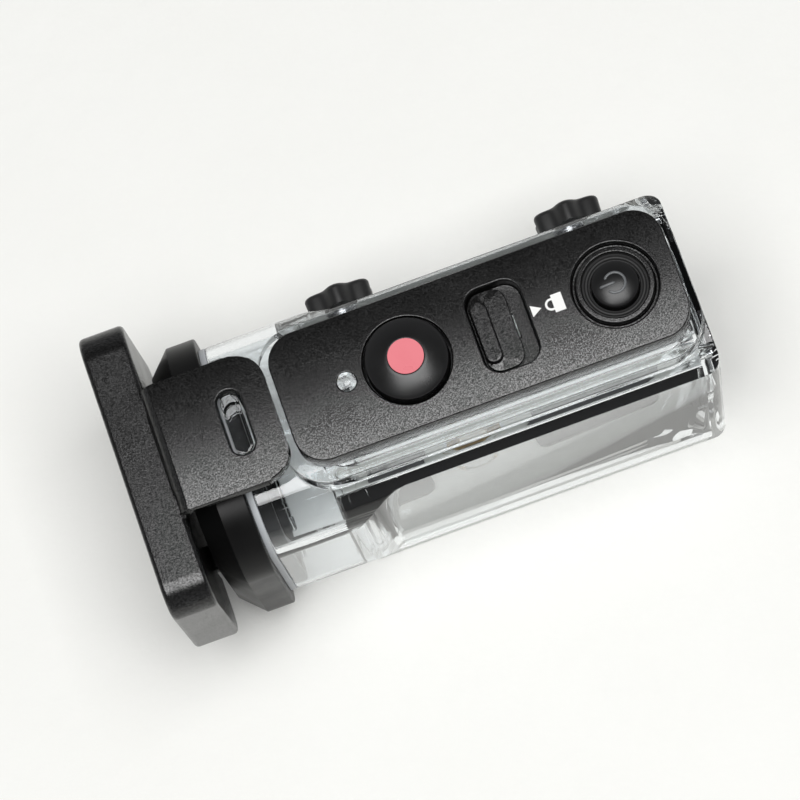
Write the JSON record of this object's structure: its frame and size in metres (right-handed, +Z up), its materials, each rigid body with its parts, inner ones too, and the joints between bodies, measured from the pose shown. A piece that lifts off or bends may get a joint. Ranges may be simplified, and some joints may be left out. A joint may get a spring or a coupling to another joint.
{
  "type": "action camera underwater housing",
  "caption": "Clear underwater housing of a stick-style action camera with a control panel, sealed push buttons, a hold switch, a hinged rear door and a buckle.",
  "frame": {"origin": "on the surface that the housing stands on, under the middle of its bounding box", "axes": "+Z up through the control panel, +X towards the front window, +Y towards the side buttons"},
  "size_m": [0.1094, 0.056, 0.0667],
  "materials": {
    "clear_plastic": "clear moulded polycarbonate, polished",
    "window_glass": "coated flat glass",
    "lamp_clear": "clear moulded dome",
    "grained_black_plastic": "black plastic with a fine sparkling grain",
    "satin_black_plastic": "satin black plastic",
    "black_plastic": "satin black plastic",
    "bush_plastic": "black acetal",
    "red_plastic": "satin red inlay",
    "knob_rubber": "satin black rubber",
    "seal_rubber": "black silicone",
    "door_seal_rubber": "pale grey silicone",
    "pad_rubber": "dark foam rubber",
    "steel": "stainless steel",
    "spring_steel": "bright spring wire",
    "brass_insert": "machined brass"
  },
  "bodies": {
    "case": {"clear_case": "clear_plastic", "floor_pads": "pad_rubber", "tripod_insert": "brass_insert", "front_window": "window_glass", "window_gasket": "seal_rubber", "window_bezel": "black_plastic", "bezel_screws": "steel", "top_panel": "grained_black_plastic", "panel_screws": "steel", "lamp_lens": "lamp_clear", "record_bush": "bush_plastic", "record_ring": "seal_rubber", "record_spring": "spring_steel", "power_seal": "seal_rubber", "power_bush": "bush_plastic", "power_ring": "seal_rubber", "power_spring": "spring_steel", "rear_bush": "bush_plastic", "rear_ring": "seal_rubber", "rear_spring": "spring_steel", "front_bush": "bush_plastic", "front_ring": "seal_rubber", "front_spring": "spring_steel", "door_pin": "steel"},
    "record_button": {"record_cap": "satin_black_plastic", "record_dot": "red_plastic", "record_shaft": "steel", "record_clip": "spring_steel"},
    "power_button": {"power_cap": "satin_black_plastic", "power_shaft": "steel", "power_clip": "spring_steel"},
    "hold_switch": {"hold_slider": "grained_black_plastic", "hold_keeper": "bush_plastic"},
    "rear_button": {"rear_knob": "knob_rubber", "rear_shaft": "steel", "rear_clip": "spring_steel"},
    "front_button": {"front_knob": "knob_rubber", "front_shaft": "steel", "front_clip": "spring_steel"},
    "door": {"rear_door": "black_plastic", "door_seal": "door_seal_rubber", "door_pad": "pad_rubber", "buckle_pin": "steel"},
    "buckle": {"buckle_plate": "grained_black_plastic", "latch_pin": "steel"},
    "latch": {"latch_arm": "grained_black_plastic"}
  },
  "joints": [
    {"name": "record_press", "type": "slide", "parent": "case", "child": "record_button", "axis": [0, 0, -1], "range_m": [0, 0.0012], "stiffness_N_per_m": 900, "springref_m": -0.002, "deforming": ["record_spring"]},
    {"name": "power_press", "type": "slide", "parent": "case", "child": "power_button", "axis": [0, 0, -1], "range_m": [0, 0.001], "stiffness_N_per_m": 900, "springref_m": -0.002, "deforming": ["power_spring"]},
    {"name": "hold_slide", "type": "slide", "parent": "case", "child": "hold_switch", "axis": [1, 0, 0], "range_m": [0, 0.0025]},
    {"name": "rear_press", "type": "slide", "parent": "case", "child": "rear_button", "axis": [0, -1, 0], "range_m": [0, 0.0015], "stiffness_N_per_m": 900, "springref_m": -0.002, "deforming": ["rear_spring"]},
    {"name": "front_press", "type": "slide", "parent": "case", "child": "front_button", "axis": [0, -1, 0], "range_m": [0, 0.0015], "stiffness_N_per_m": 900, "springref_m": -0.002, "deforming": ["front_spring"]},
    {"name": "door_swing", "type": "hinge", "parent": "case", "child": "door", "pos_m": [-0.032, 0, 0.002], "axis": [0, -1, 0], "range_deg": [0, 95]},
    {"name": "buckle_swing", "type": "hinge", "parent": "door", "child": "buckle", "pos_m": [-0.05, 0, 0.023], "axis": [0, -1, 0], "range_deg": [0, 75]},
    {"name": "latch_lift", "type": "hinge", "parent": "buckle", "child": "latch", "pos_m": [-0.043, 0, 0.0602], "axis": [0, -1, 0], "range_deg": [0, 50]}
  ]
}
